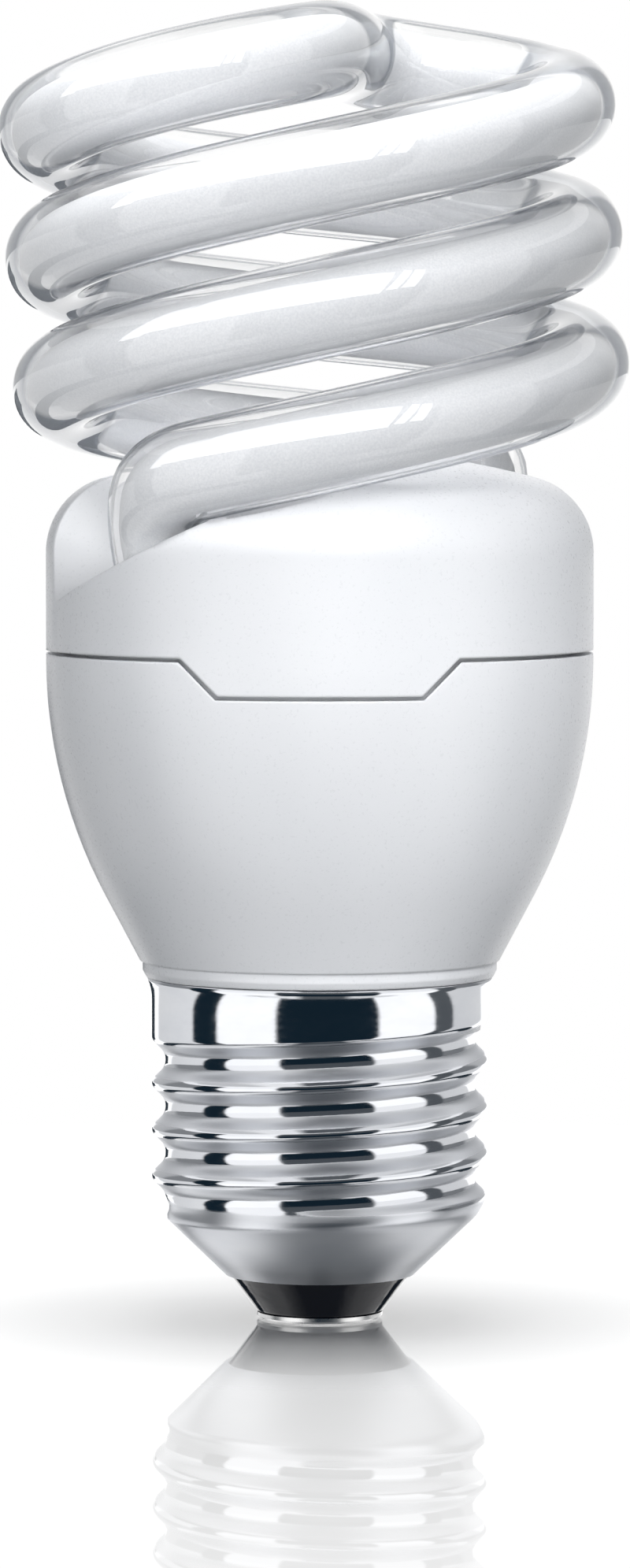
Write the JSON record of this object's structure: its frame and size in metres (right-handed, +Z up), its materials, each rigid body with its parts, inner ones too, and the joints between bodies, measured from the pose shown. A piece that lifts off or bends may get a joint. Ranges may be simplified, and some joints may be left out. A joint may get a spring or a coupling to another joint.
{
  "type": "spiral energy saving bulb",
  "caption": "Compact fluorescent lamp with a double helix glass tube, a plastic housing that holds its ballast, and an E27 screw cap.",
  "frame": {"origin": "centre of the centre contact's end face, on the axis of the screw cap", "axes": "+Z up the lamp's axis from the contact to the spiral tube, -Y towards the front, where the parting line steps down"},
  "size_m": [0.0489, 0.048, 0.1025],
  "materials": {
    "glass": "clear glass tube, coated inside with matt white phosphor",
    "white_plastic": "white satin moulded plastic",
    "cap_metal": "bright nickel-plated sheet, a little worn on the cone",
    "contact_metal": "bright metal",
    "black_glass": "opaque black glass, glossy",
    "board": "tan paper laminate, matt",
    "capacitor_sleeve": "dark shrink sleeve, glossy",
    "film_body": "dipped red-brown resin, glossy",
    "black_plastic": "moulded black resin, matt",
    "bobbin_plastic": "off-white moulded plastic",
    "resistor_body": "beige lacquer, matt",
    "ferrite": "dark grey sintered ferrite",
    "copper_wire": "enamelled copper wire",
    "tinned_wire": "tinned wire and solder",
    "silicone": "white silicone, matt",
    "sleeve": "woven glass sleeving, pale"
  },
  "bodies": {
    "root": {"spiral_glass_tube": "glass", "tube_holder": "white_plastic", "lower_housing": "white_plastic", "screw_shell": "cap_metal", "glass_insulator": "black_glass", "centre_contact": "contact_metal", "circuit_board": "board", "electrolytic_capacitor": "capacitor_sleeve", "choke_core": "ferrite", "choke_bobbin": "bobbin_plastic", "choke_winding": "copper_wire", "resonance_capacitor": "film_body", "filter_capacitor": "film_body", "switching_transistors": "black_plastic", "rectifier_diodes": "black_plastic", "board_resistors": "resistor_body", "driver_core": "ferrite", "driver_windings": "copper_wire", "fusible_resistor": "resistor_body", "fusible_resistor_sleeve": "sleeve", "shell_lead": "tinned_wire", "shell_solder": "tinned_wire", "electrode_leads": "tinned_wire", "wrap_pins": "tinned_wire", "leg_cement_front": "silicone", "leg_cement_back": "silicone"}
  },
  "joints": []
}
